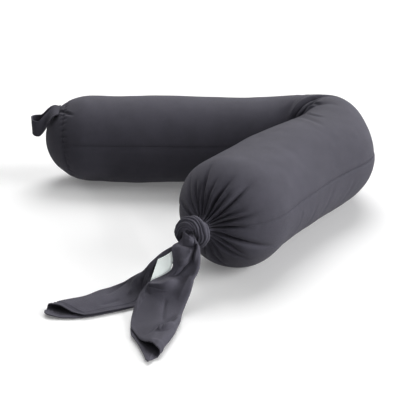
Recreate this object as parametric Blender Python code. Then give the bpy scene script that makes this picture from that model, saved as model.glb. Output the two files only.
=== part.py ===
"""Bolster pregnancy pillow in a tied jersey cover, lying bent on a floor.

The filled bolster is one solid. Its rear arm runs along X, it bends back on itself at +X, and its front arm comes
forward to a gathered dome. The cover's end is tied there in a ring knot, and its two loose tails are folded sheets.
A strap loop is sewn to the seam of the round end, and a care label hangs between the tails.
Metres, +Z up. The origin is on the floor, under the middle of the whole object.
"""

import math
from collections import namedtuple

import bmesh
import bpy
import numpy as np
from mathutils import Matrix

Stretch = namedtuple("Stretch", "name length turn_deg drop_deg")
Plump = namedtuple("Plump", "distance radius")
Crease = namedtuple("Crease", "distance slant from_deg to_deg depth width")
Pleat = namedtuple("Pleat", "angle_deg depth width_deg reach")
Bulge = namedtuple("Bulge", "distance amount span")
Fold = namedtuple("Fold", "x y z half_width lift reach edge_deg tilt_deg ruffle")
Leaf = namedtuple("Leaf", "across cut")
Neck = namedtuple("Neck", "share radius")
Finish = namedtuple("Finish", "colour roughness")

# Driving sizes of the bolster
TUBE_RADIUS = 0.110
FLATTENED = 0.975
UNDERSIDE_SAG = 1.02
SINK = 0.0015
OVERALL_MIDDLE = (-0.0051, -0.0026)
START = (-0.3865, 0.3785)
START_HEADING_DEG = -1.75
END_DOME = 0.1165
TIED_DOME = 0.100
NECK_LENGTH = 0.029
NECK_RADIUS = 0.0052
ROUTE = (
    Stretch("round end", END_DOME, 0.0, 0.0),
    Stretch("rear arm", 0.430, 0.0, 0.0),
    Stretch("bend", 0.290, -123.2, 0.0),
    Stretch("front arm", 0.359, 4.9, 0.0),
    Stretch("tied dome", TIED_DOME, -10.0, 0.0),
    Stretch("neck", NECK_LENGTH, -26.0, -12.0),
)
PLUMPNESS = (
    Plump(0.115, 0.1095),
    Plump(0.240, 0.1100),
    Plump(0.400, 0.1080),
    Plump(0.550, 0.1090),
    Plump(0.700, 0.1130),
    Plump(0.850, 0.1130),
    Plump(1.020, 0.1110),
    Plump(1.206, 0.1090),
)

# The bend, where the inner side is pushed in and creased, and the outer side and the top bulge
INNER_SIDE = (Bulge(0.702, -0.30, 0.150),)
OUTER_SIDE = (Bulge(0.720, -0.075, 0.045), Bulge(0.810, 0.060, 0.070))
TOP_SIDE = (Bulge(0.695, 0.085, 0.085),)
CREASES = (
    Crease(0.690, 0.000, -75.0, 120.0, 0.026, 0.015),
    Crease(0.695, 0.000, 80.0, 180.0, -0.011, 0.050),
    Crease(0.738, 0.020, 20.0, 115.0, 0.006, 0.010),
    Crease(0.640, -0.015, -40.0, 60.0, 0.005, 0.014),
)

# The seam round the end disc
END_SEAM_DISTANCE = 0.044
END_SEAM_DEPTH = 0.0025
END_SEAM_WIDTH = 0.006

# Gathers that run into the knot; 0 degrees is the inner side of the V and 90 is up
PLEATS = (
    Pleat(5.6, 0.0060, 5.0, 0.085),
    Pleat(28.1, 0.0075, 5.5, 0.110),
    Pleat(50.6, 0.0060, 5.0, 0.090),
    Pleat(67.5, 0.0080, 5.0, 0.120),
    Pleat(84.4, 0.0055, 5.0, 0.080),
    Pleat(106.9, 0.0080, 6.0, 0.115),
    Pleat(129.4, 0.0060, 5.0, 0.095),
    Pleat(151.9, 0.0085, 6.0, 0.120),
    Pleat(174.4, 0.0060, 5.0, 0.100),
    Pleat(196.9, 0.0075, 5.5, 0.110),
    Pleat(219.4, 0.0060, 5.0, 0.085),
    Pleat(241.9, 0.0070, 5.5, 0.090),
    Pleat(264.4, 0.0060, 5.0, 0.080),
    Pleat(286.9, 0.0075, 5.5, 0.095),
    Pleat(309.4, 0.0060, 5.0, 0.085),
    Pleat(337.5, 0.0070, 5.5, 0.100),
)

# The neck, gathered down from the dome into the knot's hole
NECK = (
    Neck(0.10, 0.0200),
    Neck(0.30, 0.0185),
    Neck(0.50, 0.0140),
    Neck(0.66, 0.0085),
    Neck(0.80, 0.0058),
    Neck(1.00, 0.0050),
)

# How finely the bolster is faceted
AROUND = 64
DOME_ANGLES_DEG = (9.0, 18.0, 27.0, 34.0, 40.0, 47.0, 56.0, 66.0, 78.0)
REAR_ARM_RINGS = 9
BEND_RINGS = 21
FRONT_ARM_RINGS = 7
TIED_ANGLES_DEG = (90.0, 78.0, 67.0, 57.0, 48.0, 40.0, 33.0, 26.5, 21.0, 16.0, 11.5, 8.0)

# The knot: a ring of folded cloth in front of the neck, its hole off its middle
KNOT_MIDDLE = (-0.0142, -0.2455, 0.1068)
KNOT_HEADING_DEG = -101.0
KNOT_DROP_DEG = -8.0
KNOT_RADIUS = 0.0335
KNOT_HOLE_RADIUS = 0.0080
KNOT_HOLE_SHIFT = 0.0055
KNOT_HOLE_DEG = 310.0
KNOT_DEPTH_SHARE = 0.92
KNOT_RIDGES = 8
KNOT_RIDGE_HEIGHT = 0.0010
KNOT_RIDGE_TURNS = 2
KNOT_AROUND = 40
KNOT_ACROSS = 32

# The tails, as folded sheets: where each section's middle lies, and how it is folded
CLOTH = 0.0020
TAIL_ALONG = 28
TAIL_FRONT = (
    Fold(-0.0167, -0.2543, 0.1030, 0.0062, 0.0044, 1.00, 5.0, 0.0, 0.0000),
    Fold(-0.0209, -0.2652, 0.0965, 0.0135, 0.0050, 1.00, 5.0, 0.0, 0.0008),
    Fold(-0.0239, -0.2719, 0.0918, 0.0215, 0.0055, 1.00, 3.0, 0.0, 0.0015),
    Fold(-0.0259, -0.2757, 0.0839, 0.0245, 0.0060, 1.00, 0.0, 0.0, 0.0022),
    Fold(-0.0258, -0.2836, 0.0690, 0.0240, 0.0070, 1.00, -3.0, 0.0, 0.0025),
    Fold(-0.0284, -0.2890, 0.0565, 0.0245, 0.0080, 1.00, -8.0, 0.0, 0.0022),
    Fold(-0.0370, -0.2942, 0.0440, 0.0290, 0.0085, 1.00, -14.0, 0.0, 0.0020),
    Fold(-0.0495, -0.3063, 0.0340, 0.0370, 0.0090, 1.00, -18.0, -6.0, 0.0018),
    Fold(-0.0595, -0.3175, 0.0215, 0.0390, 0.0095, 1.00, -20.0, -12.0, 0.0012),
    Fold(-0.0704, -0.3393, 0.0110, 0.0380, 0.0095, 1.00, -18.0, -12.0, 0.0006),
    Fold(-0.0758, -0.3764, 0.0024, 0.0375, 0.0100, 1.00, -12.0, -1.5, 0.0000),
    Fold(-0.0766, -0.4169, 0.0014, 0.0325, 0.0105, 1.00, -5.0, 0.0, 0.0000),
    Fold(-0.0766, -0.4552, 0.0014, 0.0220, 0.0105, 1.00, 0.0, 0.0, 0.0000),
    Fold(-0.0765, -0.4912, 0.0014, 0.0105, 0.0080, 1.00, 0.0, 0.0, 0.0000),
)
TAIL_LEFT = (
    Fold(-0.0199, -0.2543, 0.0935, 0.0052, 0.0044, 1.00, 115.0, 15.0, 0.0000),
    Fold(-0.0340, -0.2612, 0.0850, 0.0090, 0.0050, 0.60, 100.0, 50.0, 0.0000),
    Fold(-0.0560, -0.2640, 0.0680, 0.0130, 0.0060, 0.18, 100.0, 50.0, 0.0000),
    Fold(-0.0719, -0.2700, 0.0490, 0.0175, 0.0080, 0.18, 105.0, 40.0, 0.0000),
    Fold(-0.0895, -0.2790, 0.0270, 0.0240, 0.0085, 0.60, 112.0, 26.0, 0.0000),
    Fold(-0.1103, -0.2890, 0.0100, 0.0290, 0.0085, 1.00, 115.0, 12.0, 0.0000),
    Fold(-0.1373, -0.2990, 0.0024, 0.0320, 0.0100, 1.00, 115.0, 2.0, 0.0000),
    Fold(-0.1662, -0.3130, 0.0019, 0.0320, 0.0120, 0.99, 113.0, 0.0, 0.0000),
    Fold(-0.1959, -0.3273, 0.0019, 0.0290, 0.0120, 0.97, 108.0, 0.0, 0.0000),
    Fold(-0.2281, -0.3370, 0.0019, 0.0225, 0.0120, 0.93, 102.0, 0.0, 0.0000),
    Fold(-0.2590, -0.3410, 0.0019, 0.0135, 0.0110, 0.88, 98.0, 0.0, 0.0000),
)
# Across a tail, from the lower leaf's open edge round the fold to the upper leaf's open edge
FRONT_LEAVES = (
    Leaf(0.00, 0.12),
    Leaf(0.12, 0.05),
    Leaf(0.24, 0.00),
    Leaf(0.36, 0.02),
    Leaf(0.48, 0.05),
    Leaf(0.60, 0.06),
    Leaf(0.80, 0.08),
    Leaf(0.92, 0.11),
    Leaf(1.00, 0.15),
)
LEFT_LEAVES = (
    Leaf(0.00, 0.015),
    Leaf(0.20, 0.000),
    Leaf(0.60, 0.015),
    Leaf(1.00, 0.030),
)
TAIL_ACROSS = 18
FOLD_SHARE = 0.10

# The strap loop at the round end
STRAP_WIDTH = 0.038
STRAP_THICKNESS = 0.0020
STRAP_REACH = 0.068
STRAP_BULGE = 0.0165
STRAP_DROP = 0.038
STRAP_NEAR_DROP = 0.009
STRAP_ROOT_DEG = 68.0
STRAP_ROOT_GAP = 0.0018
STRAP_LIFT = 0.0040
STRAP_ALONG = 36
STRAP_ACROSS = 4

# The care label between the tails
LABEL_THICKNESS = 0.0008
LABEL_SAG = 0.002
LABEL_CORNERS = (
    ((-0.0728, -0.2710, 0.0687), (-0.0418, -0.2692, 0.0888)),
    ((-0.0878, -0.2945, 0.0310), (-0.0530, -0.2815, 0.0435)),
)

JERSEY = Finish((0.085, 0.079, 0.098, 1.0), 0.9)
LABEL = Finish((0.72, 0.82, 0.80, 1.0), 0.7)


def clear_scene():
    for thing in list(bpy.data.objects):
        bpy.data.objects.remove(thing, do_unlink=True)


def smooth(share):
    share = min(max(share, 0.0), 1.0)
    return share * share * (3.0 - 2.0 * share)


def bell(offset, width):
    return math.exp(-((offset / width) ** 2))


def material(name, finish):
    made = bpy.data.materials.new(name)
    made.use_nodes = True
    shader = made.node_tree.nodes["Principled BSDF"]
    shader.inputs["Base Color"].default_value = finish.colour
    shader.inputs["Roughness"].default_value = finish.roughness
    shader.inputs["Metallic"].default_value = 0.0
    return made


def build_frame():
    """The empty that carries every piece, set so that the origin is under the middle of the whole."""
    frame = bpy.data.objects.new("pillow_frame", None)
    frame.location = (-OVERALL_MIDDLE[0], -OVERALL_MIDDLE[1], 0.0)
    bpy.context.scene.collection.objects.link(frame)
    return frame


def finished(name, mesh, finish, place, frame):
    """The mesh as a smooth-shaded object with its own origin at a place on the frame."""
    mesh.transform(Matrix.Translation([-value for value in place]))
    thing = bpy.data.objects.new(name, mesh)
    thing.location = place
    thing.parent = frame
    bpy.context.scene.collection.objects.link(thing)
    mesh.materials.append(material(name, finish))
    mesh.shade_smooth()
    return thing


# Route of the bolster's middle line


def angles_at(distance):
    """Heading and drop, in radians, of the middle line at a distance from the round end's tip."""
    heading, drop, begun = START_HEADING_DEG, 0.0, 0.0
    for stretch in ROUTE:
        share = smooth((distance - begun) / stretch.length)
        heading += stretch.turn_deg * share
        drop += stretch.drop_deg * share
        begun += stretch.length
    return math.radians(heading), math.radians(drop)


def walk_route(step=0.001):
    """Distances along the middle line and the points there, at the height of the tube's axis."""
    total = sum(stretch.length for stretch in ROUTE)
    distances = np.arange(0.0, total + step, step)
    points = [np.array([START[0], START[1], TUBE_RADIUS * FLATTENED - SINK])]
    for distance in distances[:-1] + step / 2:
        heading, drop = angles_at(distance)
        ahead = np.array([math.cos(heading) * math.cos(drop), math.sin(heading) * math.cos(drop), math.sin(drop)])
        points.append(points[-1] + ahead * step)
    return distances, np.array(points)


ROUTE_DISTANCES, ROUTE_POINTS = walk_route()


def frame_at(distance):
    """Middle point, direction ahead, direction to the inner side, and upward direction."""
    middle = np.array([np.interp(distance, ROUTE_DISTANCES, ROUTE_POINTS[:, axis]) for axis in range(3)])
    heading, drop = angles_at(distance)
    ahead = np.array([math.cos(heading) * math.cos(drop), math.sin(heading) * math.cos(drop), math.sin(drop)])
    inner = np.array([math.sin(heading), -math.cos(heading), 0.0])
    return middle, ahead, inner, np.cross(inner, ahead)


# Shape of the bolster's sections


def plumpness(distance):
    """The tube's radius along the arms, eased from row to row."""
    if distance <= PLUMPNESS[0].distance:
        return PLUMPNESS[0].radius
    for before, after in zip(PLUMPNESS, PLUMPNESS[1:]):
        if distance <= after.distance:
            share = smooth((distance - before.distance) / (after.distance - before.distance))
            return before.radius + (after.radius - before.radius) * share
    return PLUMPNESS[-1].radius


def bulged(bulges, distance):
    """The share of the tube's radius that one side has at a distance."""
    return 1.0 + sum(bulge.amount * bell(distance - bulge.distance, bulge.span) for bulge in bulges)


def crease_depth(distance, angle_deg):
    """How far the cloth is pushed in by the creases of the bend."""
    depth = 0.0
    for crease in CREASES:
        middle = (crease.from_deg + crease.to_deg) / 2
        half = (crease.to_deg - crease.from_deg) / 2
        offset = (angle_deg - middle + 180.0) % 360.0 - 180.0
        if abs(offset) < half:
            along = crease.distance + crease.slant * offset / half
            fade = math.cos(math.pi / 2 * offset / half) ** 2
            depth += crease.depth * fade * bell(distance - along, crease.width)
    return depth


def pleat_depth(from_neck, angle_deg):
    """How far the cloth is drawn in by the gathers of the tied dome."""
    depth = 0.0
    for pleat in PLEATS:
        offset = (angle_deg - pleat.angle_deg + 180.0) % 360.0 - 180.0
        along = 1.0 - smooth(from_neck / pleat.reach)
        depth += pleat.depth * along * bell(offset, pleat.width_deg)
    return depth


def section(distance, radius, from_neck=None):
    """One ring of points round the middle line, resting flat on the floor where it would sink in."""
    middle, _, inner, up = frame_at(distance)
    inner_share, outer_share = bulged(INNER_SIDE, distance), bulged(OUTER_SIDE, distance)
    top_share = FLATTENED * bulged(TOP_SIDE, distance)
    ring = []
    for index in range(AROUND):
        angle_deg = 360.0 * index / AROUND
        across, height = math.cos(math.radians(angle_deg)), math.sin(math.radians(angle_deg))
        side = inner_share if across > 0 else outer_share
        tall = top_share if height > 0 else FLATTENED * UNDERSIDE_SAG
        pushed = crease_depth(distance, angle_deg)
        if from_neck is not None:
            pushed += min(pleat_depth(from_neck, angle_deg), 0.24 * radius)
        seam = END_SEAM_DEPTH * bell(distance - END_SEAM_DISTANCE, END_SEAM_WIDTH)
        reach = max(radius - pushed - seam, 0.0)
        point = middle + inner * (reach * side * across) + up * (reach * tall * height)
        point[2] = max(point[2], 0.0)
        ring.append(point)
    return ring


def bolster_rings():
    rings = []
    for angle_deg in DOME_ANGLES_DEG:
        angle = math.radians(angle_deg)
        distance = END_DOME * (1.0 - math.cos(angle))
        rings.append(section(distance, PLUMPNESS[0].radius * math.sin(angle)))
    begun = END_DOME
    for stretch, count in zip(ROUTE[1:4], (REAR_ARM_RINGS, BEND_RINGS, FRONT_ARM_RINGS)):
        for index in range(count):
            distance = begun + stretch.length * index / count
            rings.append(section(distance, plumpness(distance)))
        begun += stretch.length
    full = PLUMPNESS[-1].radius
    for angle_deg in TIED_ANGLES_DEG:
        angle = math.radians(angle_deg)
        radius = NECK_RADIUS + (full - NECK_RADIUS) * math.sin(angle)
        from_neck = full * angle
        rings.append(section(begun + TIED_DOME * math.cos(angle), radius, from_neck))
    begun += TIED_DOME
    for neck in NECK:
        rings.append(section(begun + NECK_LENGTH * neck.share, neck.radius, 0.0))
    return rings


def tube_mesh(name, rings, first_tip=None):
    """A closed mesh through the rings, with a fan at each end."""
    shape = bmesh.new()
    loops = [[shape.verts.new(point) for point in ring] for ring in rings]
    count = len(rings[0])
    for near, far in zip(loops, loops[1:]):
        for index in range(count):
            after = (index + 1) % count
            shape.faces.new((near[index], near[after], far[after], far[index]))
    tip = first_tip if first_tip is not None else np.mean(rings[0], axis=0)
    for loop, point in ((loops[0], tip), (loops[-1], np.mean(rings[-1], axis=0))):
        centre = shape.verts.new(point)
        for index in range(count):
            shape.faces.new((loop[index], loop[(index + 1) % count], centre))
    bmesh.ops.recalc_face_normals(shape, faces=shape.faces)
    mesh = bpy.data.meshes.new(name)
    shape.to_mesh(mesh)
    shape.free()
    return mesh


def build_bolster(frame):
    tip = np.array([START[0], START[1], TUBE_RADIUS * FLATTENED - SINK])
    return finished("bolster", tube_mesh("bolster", bolster_rings(), tip), JERSEY, (START[0], START[1], 0.0), frame)


# The knot


def build_knot(frame):
    """A ring of cloth with ridges that wind round it, thinnest beside its hole."""
    centre = np.array(KNOT_MIDDLE)
    heading, drop = math.radians(KNOT_HEADING_DEG), math.radians(KNOT_DROP_DEG)
    ahead = np.array([math.cos(heading) * math.cos(drop), math.sin(heading) * math.cos(drop), math.sin(drop)])
    inner = np.array([math.sin(heading), -math.cos(heading), 0.0])
    up = np.cross(inner, ahead)
    shape = bmesh.new()
    loops = []
    for turn in range(KNOT_AROUND):
        around = 2 * math.pi * turn / KNOT_AROUND
        outward = inner * math.cos(around) + up * math.sin(around)
        hole = KNOT_HOLE_RADIUS + KNOT_HOLE_SHIFT * math.cos(around - math.radians(KNOT_HOLE_DEG))
        cord, ring = (KNOT_RADIUS - hole) / 2, (KNOT_RADIUS + hole) / 2
        loop = []
        for index in range(KNOT_ACROSS):
            across = 2 * math.pi * index / KNOT_ACROSS
            ridge = KNOT_RIDGE_HEIGHT * (math.cos(KNOT_RIDGES * across + KNOT_RIDGE_TURNS * around) - 1.0)
            out = ring + (cord + ridge) * math.cos(across)
            forward = (cord + ridge) * KNOT_DEPTH_SHARE * math.sin(across)
            loop.append(shape.verts.new(centre + outward * out + ahead * forward))
        loops.append(loop)
    for turn, near in enumerate(loops):
        far = loops[(turn + 1) % KNOT_AROUND]
        for index in range(KNOT_ACROSS):
            after = (index + 1) % KNOT_ACROSS
            shape.faces.new((near[index], near[after], far[after], far[index]))
    bmesh.ops.recalc_face_normals(shape, faces=shape.faces)
    mesh = bpy.data.meshes.new("knot")
    shape.to_mesh(mesh)
    shape.free()
    return finished("knot", mesh, JERSEY, KNOT_MIDDLE, frame)


# Sheets: the tails, the strap and the label


def sheet_object(name, grid, thickness, finish, frame):
    """A grid of points on the middle of a sheet, thickened to both sides, its origin at the first point."""
    shape = bmesh.new()
    rows = [[shape.verts.new(point) for point in row] for row in grid]
    for near, far in zip(rows, rows[1:]):
        for index in range(len(near) - 1):
            shape.faces.new((near[index], near[index + 1], far[index + 1], far[index]))
    bmesh.ops.recalc_face_normals(shape, faces=shape.faces)
    mesh = bpy.data.meshes.new(name)
    shape.to_mesh(mesh)
    shape.free()
    thing = finished(name, mesh, finish, tuple(grid[0][0]), frame)
    solid = thing.modifiers.new("thickness", "SOLIDIFY")
    solid.thickness = thickness
    solid.offset = 0.0
    return thing


def eased_row(rows, share):
    """The values of a table at a share of its length, on a smooth curve through its rows."""
    place = share * (len(rows) - 1)
    index = min(int(place), len(rows) - 2)
    t = place - index
    before = np.array(rows[max(index - 1, 0)])
    start = np.array(rows[index])
    end = np.array(rows[index + 1])
    after = np.array(rows[min(index + 2, len(rows) - 1)])
    curve = start * 2 + (end - before) * t
    curve += (before * 2 - start * 5 + end * 4 - after) * t * t
    curve += (start * 3 - before - end * 3 + after) * t**3
    return curve / 2


def leaf_cut(leaves, across):
    """How much of a tail's length is cut away at its tip, at a place across the strip."""
    for before, after in zip(leaves, leaves[1:]):
        if across <= after.across:
            share = (across - before.across) / (after.across - before.across)
            return before.cut + (after.cut - before.cut) * share
    return leaves[-1].cut


def folded_point(rows, share, across, fold_side):
    """A point of a tail at a share of its length, and from 0 at the lower leaf's edge to 1 at the upper leaf's."""
    here = Fold(*eased_row(rows, share))
    step = 0.01
    ahead = eased_row(rows, min(share + step, 1.0))[:3] - eased_row(rows, max(share - step, 0.0))[:3]
    edge, tilt = math.radians(here.edge_deg), math.radians(here.tilt_deg)
    side = np.array([math.cos(edge), math.sin(edge), 0.0])
    up = np.cross(side, ahead - side * np.dot(ahead, side)) * fold_side
    up /= np.linalg.norm(up)
    side, up = side * math.cos(tilt) + up * math.sin(tilt), up * math.cos(tilt) - side * math.sin(tilt)
    radius = here.lift / 2
    lower_end, upper_start = 0.5 - FOLD_SHARE / 2, 0.5 + FOLD_SHARE / 2
    flat = here.half_width - radius
    wave = here.ruffle * math.cos(3.0 * math.pi * (2 * abs(across - 0.5)))
    if across < lower_end:
        out, height = -here.half_width + (flat + here.half_width) * across / lower_end, wave
    elif across > upper_start:
        back = (across - upper_start) / (1.0 - upper_start)
        out, height = flat - (flat + here.half_width) * here.reach * back, here.lift + wave
    else:
        turn = math.pi * (across - lower_end) / FOLD_SHARE
        out, height = flat + radius * math.sin(turn), radius * (1 - math.cos(turn)) + wave
    return np.array([here.x, here.y, here.z]) + side * out + up * height


def build_tail(name, rows, leaves, fold_side, frame):
    grid = []
    for along in range(TAIL_ALONG + 1):
        row = []
        for index in range(TAIL_ACROSS + 1):
            across = index / TAIL_ACROSS
            share = along / TAIL_ALONG * (1.0 - leaf_cut(leaves, across))
            row.append(folded_point(rows, share, across, fold_side))
        grid.append(row)
    return sheet_object(name, grid, CLOTH, JERSEY, frame)


def build_strap_loop(frame):
    """A strap sewn by both ends to the end seam, its width turning from along the seam to upright."""
    middle, ahead, inner, up = frame_at(END_SEAM_DISTANCE)
    seam_radius = PLUMPNESS[0].radius * math.sqrt(1.0 - (1.0 - END_SEAM_DISTANCE / END_DOME) ** 2)
    root_angle = math.radians(STRAP_ROOT_DEG)
    outward = inner * math.cos(root_angle) + up * math.sin(root_angle)
    root = middle + outward * (seam_radius + STRAP_LIFT)
    seam_way = up * math.cos(root_angle) - inner * math.sin(root_angle)
    grid = []
    for along in range(STRAP_ALONG + 1):
        place = 2.0 * along / STRAP_ALONG - 1.0
        leg = abs(place)
        way_out = -ahead * STRAP_REACH * (1.0 - leg**2.6)
        bulge = -inner * STRAP_BULGE * math.sin(math.pi * place)
        sag = np.array([0.0, 0.0, -STRAP_DROP * smooth((1.0 - leg) / 0.5)])
        if place < 0:
            sag[2] -= STRAP_NEAR_DROP * math.sin(math.pi * leg)
        apart = -outward * STRAP_ROOT_GAP * math.copysign(leg**6, place)
        centre = root + way_out + bulge + sag + apart
        turn = smooth((1.0 - leg) / 0.45)
        width_way = seam_way * (1.0 - turn) + np.array([0.0, 0.0, 1.0]) * turn
        width_way /= np.linalg.norm(width_way)
        grid.append(
            [centre + width_way * STRAP_WIDTH * (index / STRAP_ACROSS - 0.5) for index in range(STRAP_ACROSS + 1)]
        )
    return sheet_object("strap_loop", grid, STRAP_THICKNESS, JERSEY, frame)


def build_label(frame):
    (near_left, near_right), (far_left, far_right) = np.array(LABEL_CORNERS)
    grid = []
    for along in range(9):
        left = near_left + (far_left - near_left) * along / 8
        right = near_right + (far_right - near_right) * along / 8
        row = []
        for index in range(7):
            sag = LABEL_SAG * math.sin(math.pi * index / 6)
            row.append(left + (right - left) * index / 6 - np.array([0.0, 0.0, sag]))
        grid.append(row)
    return sheet_object("care_label", grid, LABEL_THICKNESS, LABEL, frame)


clear_scene()
FRAME = build_frame()
build_bolster(FRAME)
build_knot(FRAME)
build_tail("tail_front", TAIL_FRONT, FRONT_LEAVES, -1.0, FRAME)
build_tail("tail_left", TAIL_LEFT, LEFT_LEAVES, 1.0, FRAME)
build_strap_loop(FRAME)
build_label(FRAME)
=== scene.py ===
"""Bolster pregnancy pillow in its tied jersey cover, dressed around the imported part.

The cover, the ring knot, the two loose tails, the strap loop and the care label are each made by one operator,
in metres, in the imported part's own frame. The tables at the top are the sizes of this object.
"""

import math
from collections import namedtuple

import bpy
import numpy as np
from bpy.props import FloatProperty, FloatVectorProperty, PointerProperty
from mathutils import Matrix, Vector, noise


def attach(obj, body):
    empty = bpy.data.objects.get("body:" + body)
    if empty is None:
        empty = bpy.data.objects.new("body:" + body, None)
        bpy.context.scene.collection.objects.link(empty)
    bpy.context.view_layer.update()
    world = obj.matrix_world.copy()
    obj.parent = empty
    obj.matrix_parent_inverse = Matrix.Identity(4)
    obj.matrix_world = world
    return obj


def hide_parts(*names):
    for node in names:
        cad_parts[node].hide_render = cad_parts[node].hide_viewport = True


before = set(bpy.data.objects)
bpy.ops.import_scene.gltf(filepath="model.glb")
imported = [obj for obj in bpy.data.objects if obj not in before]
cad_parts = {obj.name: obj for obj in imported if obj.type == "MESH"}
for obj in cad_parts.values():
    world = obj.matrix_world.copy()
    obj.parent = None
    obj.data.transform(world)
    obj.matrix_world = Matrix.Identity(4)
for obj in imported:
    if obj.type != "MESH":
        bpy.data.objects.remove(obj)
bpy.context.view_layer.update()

bl_info = {
    "name": "Pregnancy pillow",
    "version": (1, 0, 0),
    "blender": (4, 5, 0),
    "location": "View3D > Sidebar > Pillow",
    "description": "A bent bolster pillow in a jersey cover that is tied in a knot with two tails",
    "category": "Object",
}

Stretch = namedtuple("Stretch", "name length turn_deg drop_deg")
Plump = namedtuple("Plump", "distance radius")
Crease = namedtuple("Crease", "distance slant from_deg to_deg depth width")
Bulge = namedtuple("Bulge", "distance amount span")
Gather = namedtuple("Gather", "angle_deg swing_deg depth width reach")
Wrinkle = namedtuple("Wrinkle", "depth width lip points")
Fold = namedtuple("Fold", "x y z half_width lift reach edge_deg tilt_deg ruffle")
Lamp = namedtuple("Lamp", "name toward strength spread_deg")
Spot = namedtuple("Spot", "place aim watts cone_deg radius")

# The part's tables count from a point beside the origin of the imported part
TABLE_PLACE = np.array([0.0051, 0.0026, 0.0])

# Driving sizes of the bolster
TUBE_RADIUS = 0.110
FLATTENED = 0.975
UNDERSIDE_SAG = 1.02
SINK = 0.0015
START = (-0.3865, 0.3785)
START_HEADING_DEG = -1.75
END_DOME = 0.1165
TIED_DOME = 0.100
NECK_LENGTH = 0.029
NECK_RADIUS = 0.0052
ROUTE = (
    Stretch("round end", END_DOME, 0.0, 0.0),
    Stretch("rear arm", 0.430, 0.0, 0.0),
    Stretch("bend", 0.290, -123.2, 0.0),
    Stretch("front arm", 0.359, 4.9, 0.0),
    Stretch("tied dome", TIED_DOME, -10.0, 0.0),
    Stretch("neck", NECK_LENGTH, -26.0, -12.0),
)
PLUMPNESS = (
    Plump(0.115, 0.1095),
    Plump(0.240, 0.1100),
    Plump(0.400, 0.1080),
    Plump(0.550, 0.1090),
    Plump(0.700, 0.1130),
    Plump(0.850, 0.1130),
    Plump(1.020, 0.1110),
    Plump(1.206, 0.1090),
)
# The dome's last ring, and the gathered neck from it through the knot's hole: shares of its length, and radii
DOME_CUT_DEG = 15.0
NECK_RINGS = 44
NECK_SHARES = (0.00, 0.10, 0.22, 0.40, 0.55, 0.65, 0.76, 0.90, 0.96, 1.00)
NECK_RADII = (0.0321, 0.0245, 0.0205, 0.0185, 0.0145, 0.0105, 0.0130, 0.0142, 0.0118, 0.0050)

# The bend, where the inner side is pushed in and creased, and the outer side and the top bulge
INNER_SIDE = (Bulge(0.702, -0.30, 0.150),)
OUTER_SIDE = (Bulge(0.720, -0.075, 0.045), Bulge(0.810, 0.060, 0.070))
TOP_SIDE = (Bulge(0.705, 0.098, 0.080),)
CREASES = (
    Crease(0.690, 0.000, -75.0, 120.0, 0.026, 0.015),
    Crease(0.695, 0.000, 80.0, 180.0, -0.011, 0.050),
    Crease(0.738, 0.020, 20.0, 115.0, 0.006, 0.010),
    Crease(0.640, -0.015, -40.0, 60.0, 0.005, 0.014),
)

# Seams
END_SEAM_ALONG = 0.1210
END_SEAM_TILT = 0.0090
END_SEAM_DISTANCE = 0.044
END_SEAM_DEPTH = 0.0025
SIDE_SEAMS_DEG = (5.0, 172.0)
SEAM_WIDTH = 0.0016
SEAM_GROOVE = 0.0022
SEAM_DIP = 0.0008
SEAM_DIP_WIDTH = 0.010
RING_SEAM_GROOVE = 0.0024
PUCKERS = 41
PUCKER_DEPTH = 0.0026
PUCKER_WIDTH = 0.0085
# The lower panel is drawn in under the inner seam, and stands out under the outer one near the bend
LOWER_PANEL_IN = 0.0018
LOWER_PANEL_OUT = 0.0024
BEND_ALONG = 0.890

# How finely the cover is woven into faces: the gaps between rings, at lengths along the cloth
GAP_PLACES = (0.000, 0.090, 0.106, 0.136, 0.150, 0.220, 0.560, 0.620, 0.860, 0.950, 1.200, 1.270, 1.400)
RING_GAPS = (
    0.0040, 0.0040, 0.0009, 0.0009, 0.0045, 0.0085, 0.0085, 0.0024, 0.0024, 0.0060, 0.0060, 0.0020, 0.0012
)
ANGLE_GAP_DEG = 1.5
SEAM_OFFSETS_DEG = (0.0, 0.35, 0.80)

# The filling's broad lumps and the slack in the jersey
LUMP_SIZE = 0.110
LUMP_HEIGHT = 0.0030
SLACK_SIZE = 0.034
SLACK_HEIGHT = 0.0007

# Gathers that fan out from the knot; 0 degrees is the inner side of the V and 90 is up
GATHERS = tuple(
    Gather(*row)
    for row in (
        (14.0, 3.0, 0.0087, 0.0031, 0.080), (41.0, 5.0, 0.0116, 0.0033, 0.115),
        (54.0, 6.0, 0.0087, 0.0026, 0.070), (62.0, 8.0, 0.0101, 0.0028, 0.060),
        (76.0, -3.0, 0.0138, 0.0037, 0.120), (90.0, 2.0, 0.0087, 0.0028, 0.075),
        (105.0, 4.0, 0.0138, 0.0044, 0.090), (118.0, 1.0, 0.0087, 0.0028, 0.060),
        (134.0, -8.0, 0.0138, 0.0037, 0.105), (146.0, 4.0, 0.0094, 0.0026, 0.065),
        (158.0, 1.0, 0.0138, 0.0033, 0.085), (171.0, 4.0, 0.0094, 0.0028, 0.070),
        (193.0, 9.0, 0.0145, 0.0039, 0.120), (208.0, 8.0, 0.0101, 0.0028, 0.070),
        (226.0, -4.0, 0.0116, 0.0033, 0.080), (246.0, 4.0, 0.0094, 0.0028, 0.060),
        (268.0, -12.0, 0.0123, 0.0035, 0.090), (300.0, 4.0, 0.0109, 0.0031, 0.080),
        (334.0, 6.0, 0.0116, 0.0033, 0.095), (352.0, -4.0, 0.0087, 0.0028, 0.060),
    )
)
SHORT_GATHERS = 46
MIDDLE_GATHERS = 21
GATHER_LIMIT = 0.42
GOLDEN = 0.618034

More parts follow.
